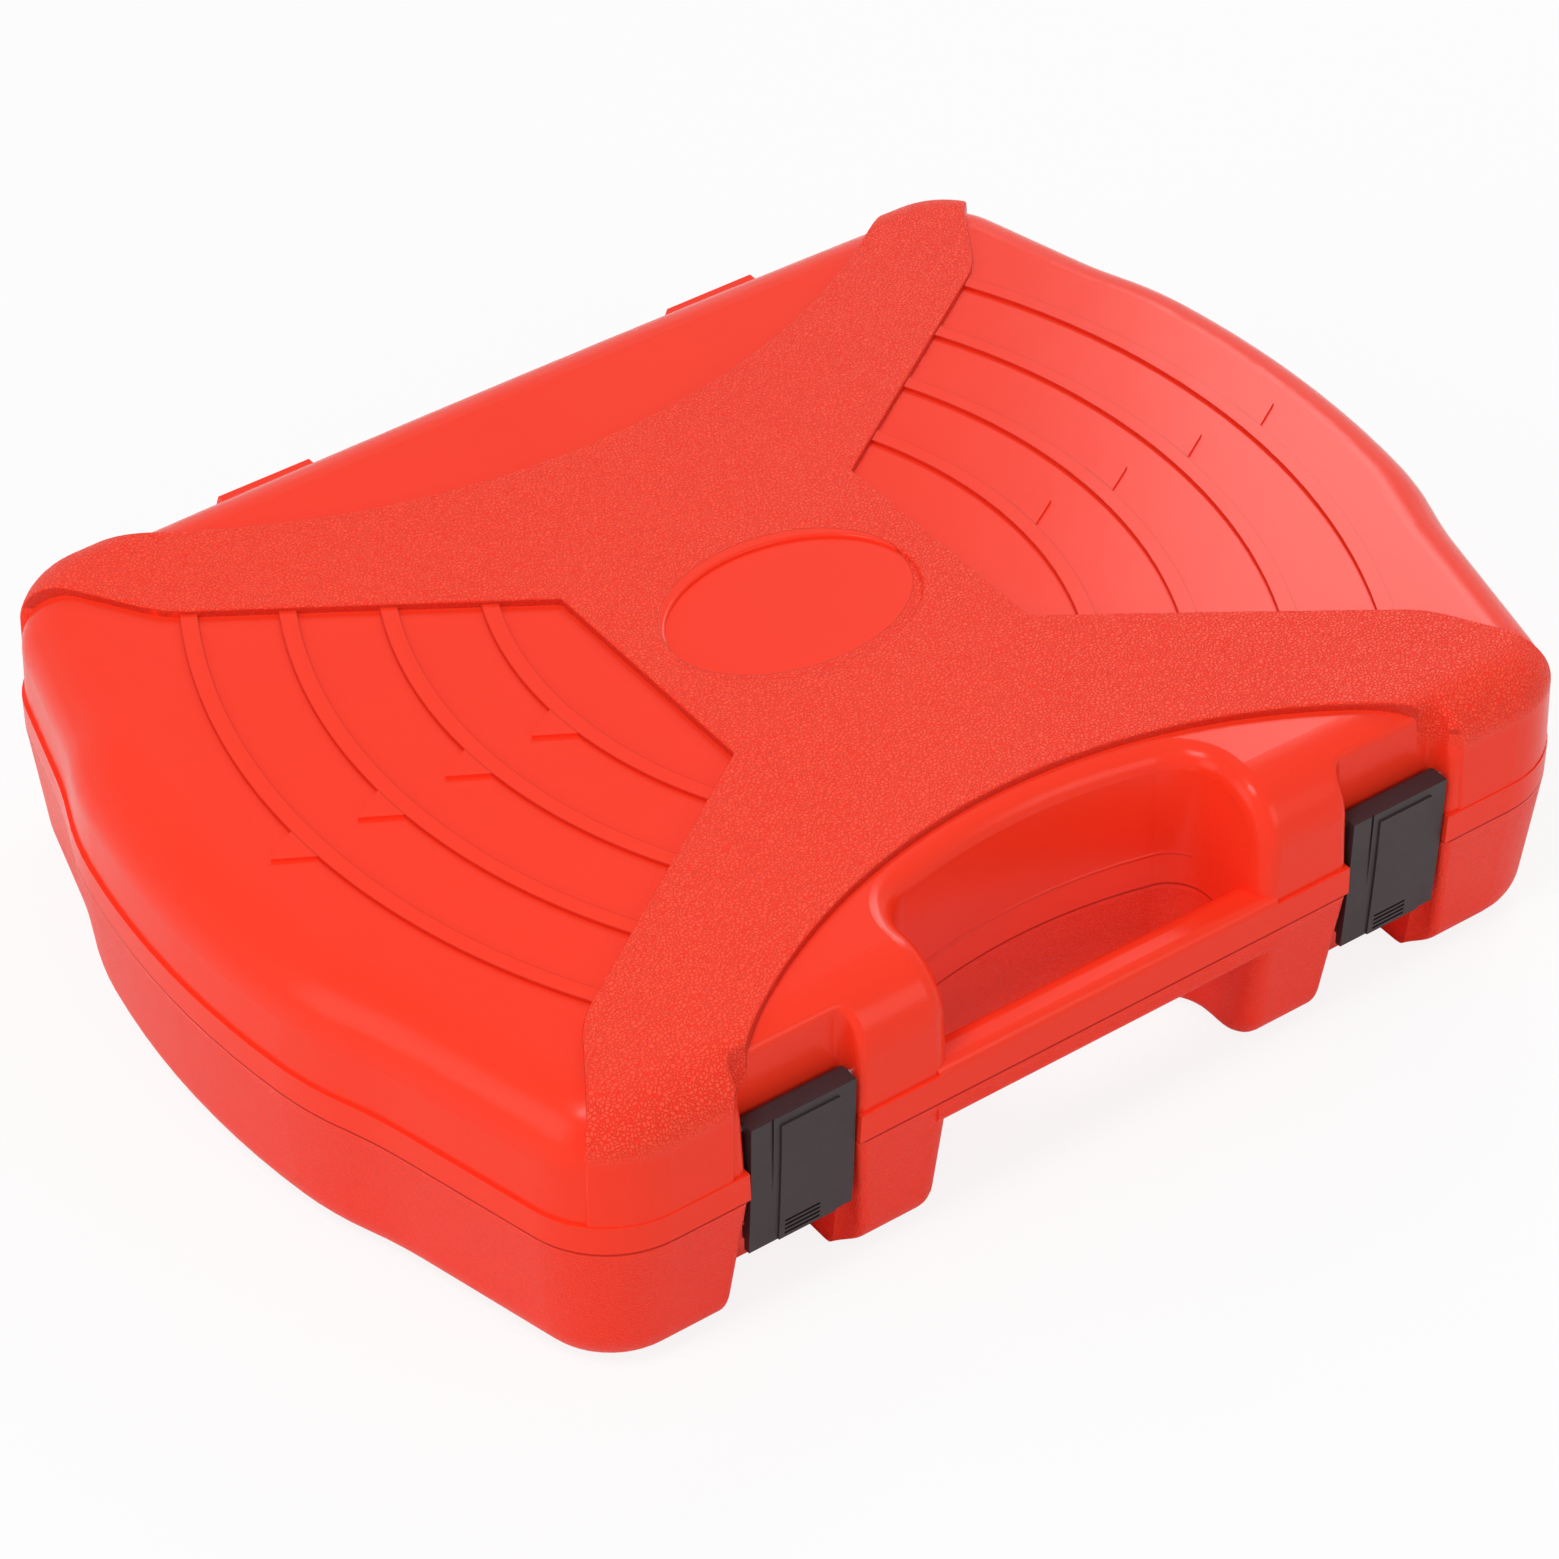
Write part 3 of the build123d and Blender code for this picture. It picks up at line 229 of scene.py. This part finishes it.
def x_panel_mask(wire, x, y, z):
    """1 on the X panel: between the front and the back arc, and inside the waist or an arm."""
    half_x = math_step(wire, "ABSOLUTE", x)
    half_y = math_step(wire, "ABSOLUTE", math_step(wire, "SUBTRACT", y, pattern_y))
    spread = wire("MapRange", half_x, 0.0, outline_span, 0.0, 1.0).outputs["Result"]
    edge = wire("FloatCurve", 1.0, spread)
    curve = edge.mapping.curves[0]
    curve.points[0].location = (0.0, 0.0)
    curve.points[1].location = (1.0, outline_end)
    for reach, height in arm_outline:
        curve.points.new(reach / outline_span, height / outline_span)
    for point in curve.points:
        point.handle_type = "VECTOR"
    edge.mapping.update()
    arm_edge = math_step(wire, "MULTIPLY", edge.outputs[0], outline_span)
    in_waist = ramp(wire, math_step(wire, "SUBTRACT", waist_half_width, half_x), -panel_blend, panel_blend)
    in_arm = ramp(wire, math_step(wire, "SUBTRACT", half_y, arm_edge), -panel_blend, panel_blend)
    inside = math_step(wire, "MAXIMUM", in_waist, in_arm)
    flat = wire("CombineXYZ", x, y, 0.0).outputs[0]
    for middle_y, radius in panel_arcs:
        reach = wire("VectorMath", flat, (0.0, middle_y, 0.0), operation="DISTANCE").outputs["Value"]
        beyond_arc = ramp(wire, reach, radius - panel_blend, radius + panel_blend)
        inside = math_step(wire, "MULTIPLY", inside, beyond_arc)
    oval_scale = (1 / oval_half_length, 1 / oval_half_width, 1.0)
    oval = wire("VectorMath", flat, oval_scale, operation="MULTIPLY").outputs[0]
    oval_reach = wire("VectorMath", oval, operation="LENGTH").outputs["Value"]
    inside = math_step(wire, "MULTIPLY", inside, ramp(wire, oval_reach, oval_blend, 1.0))
    return math_step(wire, "MULTIPLY", inside, ramp(wire, z, grain_low, grain_high))


def base_grain_mask(wire, x, y, z):
    """A weaker grain on the outside of the base half; 0 on its rim, tray and pockets."""
    below = ramp(wire, math_step(wire, "SUBTRACT", parting_height - rim_below_parting, z), 0.0, 0.0004)
    above_floor = math_step(wire, "GREATER_THAN", z, tray_floor)
    tray = math_step(wire, "MULTIPLY", inside_case(wire, x, y), above_floor)
    outside = math_step(wire, "MULTIPLY", below, math_step(wire, "SUBTRACT", 1.0, tray))
    return math_step(wire, "MULTIPLY", outside, base_grain_share)


def rib_creases(wire, x, y, z):
    """Where shade is painted at the ribs' feet: 1 along both feet of the ribs of the side fields, 0 elsewhere.
    """
    half_x = math_step(wire, "ABSOLUTE", x)
    flat = wire("CombineXYZ", math_step(wire, "ADD", half_x, rib_centre_setback), y, 0.0).outputs[0]
    reach = wire("VectorMath", flat, operation="LENGTH").outputs["Value"]
    creases = 0.0
    for rib_place in rib_places:
        for foot in (rib_place + rib_centre_setback, rib_place + rib_centre_setback + rib_width):
            off_foot = math_step(wire, "ABSOLUTE", math_step(wire, "SUBTRACT", reach, foot))
            line = wire("MapRange", off_foot, 0.0, rib_crease, 1.0, 0.0).outputs["Result"]
            creases = math_step(wire, "MAXIMUM", creases, line)
    half_y = math_step(wire, "ABSOLUTE", math_step(wire, "SUBTRACT", y, pattern_y))
    field_edge = math_step(wire, "MULTIPLY", half_x, side_field_slope)
    side_field = math_step(wire, "LESS_THAN", half_y, field_edge)
    on_top = math_step(wire, "GREATER_THAN", z, grain_high)
    return math_step(wire, "MULTIPLY", creases, math_step(wire, "MULTIPLY", side_field, on_top))


def moulded_red(name, mask_of, top_red):
    """Red polyethylene: leather grain in its own red where the mask is 1, with painted shade between its
    pebbles; faint flow marks everywhere; painted shade along the parting line, round the X panel and at the
    ribs' feet.
    """
    material, shader, wire = new_finish(name)
    link = material.node_tree.links.new
    place = wire("TexCoord").outputs["Object"]
    axes = wire("SeparateXYZ", place).outputs
    mask = mask_of(wire, axes[0], axes[1], axes[2])

    # Pebbles are the cells of a Voronoi pattern that noise bends; a finer noise lies on them.
    wander = wire("TexNoise", place, None, 420.0, 2.0, 0.5).outputs["Color"]
    wander = wire("VectorMath", wander, (0.5, 0.5, 0.5), operation="SUBTRACT").outputs[0]
    wander = wire("VectorMath", wander, (pebble_wander,) * 3, operation="MULTIPLY").outputs[0]
    bent = wire("VectorMath", place, wander, operation="ADD").outputs[0]
    cells = wire("TexVoronoi", bent, None, pebbles_per_metre, feature="DISTANCE_TO_EDGE").outputs["Distance"]
    pebble = ramp(wire, cells, 0.0, pebble_crease)
    fine = wire("TexNoise", place, None, 2600.0, 2.0, 0.6).outputs[0]
    grain = math_step(wire, "ADD", pebble, math_step(wire, "MULTIPLY", fine, 0.35))
    grain = math_step(wire, "MULTIPLY", math_step(wire, "MULTIPLY", grain, mask), grain_rise)

    # The relief: slow swells and a fine skin everywhere, the grain, and the flash line in the opening.
    swell = wire("TexNoise", place, None, 45.0, 3.0, 0.5).outputs[0]
    skin = wire("TexNoise", place, None, 900.0, 2.0, 0.5).outputs[0]
    relief = math_step(wire, "ADD", math_step(wire, "MULTIPLY", swell, swell_rise),
                       math_step(wire, "MULTIPLY", skin, skin_rise))
    relief = math_step(wire, "ADD", relief, grain)
    off_ledge = math_step(wire, "ABSOLUTE", math_step(wire, "SUBTRACT", axes[2], ledge_height))
    ledge = moulding_line(wire, off_ledge, 1.0)
    in_opening = math_step(wire, "LESS_THAN", math_step(wire, "ABSOLUTE", axes[0]), opening_half_length)
    behind_bar = math_step(wire, "COMPARE", axes[1], opening_middle_y, opening_half_depth)
    ledge = math_step(wire, "MULTIPLY", ledge, math_step(wire, "MULTIPLY", in_opening, behind_bar))
    relief = math_step(wire, "ADD", relief, math_step(wire, "MULTIPLY", ledge, ledge_rise))
    add_bump(material, shader, wire, relief, 0.7, 0.00022)

    # The colour: painted shade between the pebbles, and a deeper tone in slow, faint patches.
    crease = math_step(wire, "MULTIPLY", mask, math_step(wire, "SUBTRACT", 1.0, pebble))
    mottle = ramp(wire, wire("TexNoise", place, None, 28.0, 3.0, 0.6).outputs[0], 0.3, 0.8)
    shade = math_step(wire, "ADD", math_step(wire, "MULTIPLY", crease, crease_shade),
                      math_step(wire, "MULTIPLY", mottle, mottle_shade))
    tint = blend(wire, shade, blend(wire, mask, case_red, top_red), pebble_shade_and_mottle_red)

    # Painted shade in dark lines: along the parting on upright faces, at the step round the X panel and at the
    # ribs' feet.
    off_seam = math_step(wire, "ABSOLUTE", math_step(wire, "SUBTRACT", axes[2], parting_height))
    seam = moulding_line(wire, off_seam, seam_shade)
    facing = wire("SeparateXYZ", wire("TexCoord").outputs["Normal"]).outputs[2]
    upright = math_step(wire, "LESS_THAN", math_step(wire, "ABSOLUTE", facing), upright_limit)
    seam = math_step(wire, "MULTIPLY", seam, upright)
    beside_panel = math_step(wire, "SUBTRACT", 1.0, mask)
    on_top = math_step(wire, "GREATER_THAN", axes[2], grain_high + 0.001)
    step = math_step(wire, "MULTIPLY", math_step(wire, "MULTIPLY", mask, beside_panel), on_top)
    creases = math_step(wire, "MULTIPLY", rib_creases(wire, axes[0], axes[1], axes[2]), beside_panel)
    dark = math_step(wire, "MAXIMUM", seam, math_step(wire, "MULTIPLY", step, step_shade))
    dark = math_step(wire, "MAXIMUM", dark, math_step(wire, "MULTIPLY", creases, rib_crease_shade))
    link(blend(wire, dark, tint, painted_shade_red), shader.inputs["Base Color"])

    dull = wire("MapRange", mask, 0.0, 1.0, smooth_roughness, grained_roughness).outputs["Result"]
    link(dull, shader.inputs["Roughness"])
    shader.inputs["Specular IOR Level"].default_value = 0.16
    return material


parts["lid_shell"].material_slots[0].material = moulded_red("lid_shell_red", x_panel_mask, grained_red_with_painted_sheen)
parts["base_shell"].material_slots[0].material = moulded_red("base_shell_red", base_grain_mask, case_red)


# ---------------------------------------------------------------- latches and pins
# The two snap latches are moulded in black polypropylene. They turn on steel pins in the lid, and
# the lid turns on two more at the back.
steel_grey = (0.55, 0.56, 0.58)
worn_shade = 0.82               # a patch worn darker, against the fresh colour
gloss_spread = 0.15             # how far wear moves the roughness either way
rings_per_metre = 100.0


def plain_finish(name, colour, roughness, metallic=0.0, grain_scale=900.0, grain=0.15, rings=0.0):
    """One-colour finish with a fine surface grain and slightly uneven gloss; rings adds ribs across X."""
    material, shader, wire = new_finish(name)
    link = material.node_tree.links.new
    place = wire("TexCoord").outputs["Object"]
    speckle = wire("TexNoise", place, None, grain_scale, 3.0, 0.6).outputs[0]
    ribs = wire("TexWave", place, rings_per_metre, 0.0, bands_direction="X").outputs[1]
    speckle = math_step(wire, "ADD", speckle, math_step(wire, "MULTIPLY", ribs, rings))
    add_bump(material, shader, wire, speckle, grain, 0.0001)
    worn = wire("TexNoise", place, None, grain_scale / 25, 3.0, 0.6).outputs[0]
    gloss = wire("MapRange", worn, 0.3, 0.7, roughness * (1 - gloss_spread), roughness * (1 + gloss_spread))
    link(gloss.outputs["Result"], shader.inputs["Roughness"])
    worn_colour = (*[channel * worn_shade for channel in colour], 1.0)
    link(blend(wire, worn, (*colour, 1.0), worn_colour), shader.inputs["Base Color"])
    shader.inputs["Metallic"].default_value = metallic
    return material


latch_black = plain_finish("latch_black", (0.040, 0.028, 0.031), 0.42, grain_scale=1500.0)
latch_black.node_tree.nodes["Principled BSDF"].inputs["Specular IOR Level"].default_value = 0.3
for node_name in ("latch_left", "latch_right"):
    parts[node_name].material_slots[0].material = latch_black
pin_steel = plain_finish("pin_steel", steel_grey, 0.28, metallic=1.0, grain=0.05)
for node_name in ("hinge_pins", "latch_pins"):
    parts[node_name].material_slots[0].material = pin_steel


# ---------------------------------------------------------------- tools
# Sockets, bars and ratchets are forged steel with satin chrome plating; gears, pawls, screws and
# bits are bare or blued steel, and the hand grips are moulded rubber.
finishes = {
    "chrome_tool": plain_finish("chrome_tool", (0.80, 0.81, 0.83), 0.16,
                                metallic=1.0, grain_scale=500.0, grain=0.03),
    "drive_steel": plain_finish("drive_steel", steel_grey, 0.30, metallic=1.0, grain=0.05),
    "screw_steel": plain_finish("screw_steel", (0.30, 0.31, 0.33), 0.35, metallic=1.0, grain=0.05),
    "bit_steel": plain_finish("bit_steel", (0.36, 0.37, 0.39), 0.32, metallic=1.0, grain=0.08),
    "grip_rubber": plain_finish("grip_rubber", (0.020, 0.020, 0.022), 0.62,
                                grain_scale=1800.0, grain=0.3, rings=12.0),
    "insert_rubber": plain_finish("insert_rubber", (0.015, 0.015, 0.015), 0.70),
    "holder_plastic": plain_finish("holder_plastic", (0.025, 0.025, 0.027), 0.48),
}
for subpart in frame["record"]["subparts"]:
    finish = finishes.get(subpart["material_slot"])
    if finish:
        parts[subpart["node"]].material_slots[0].material = finish
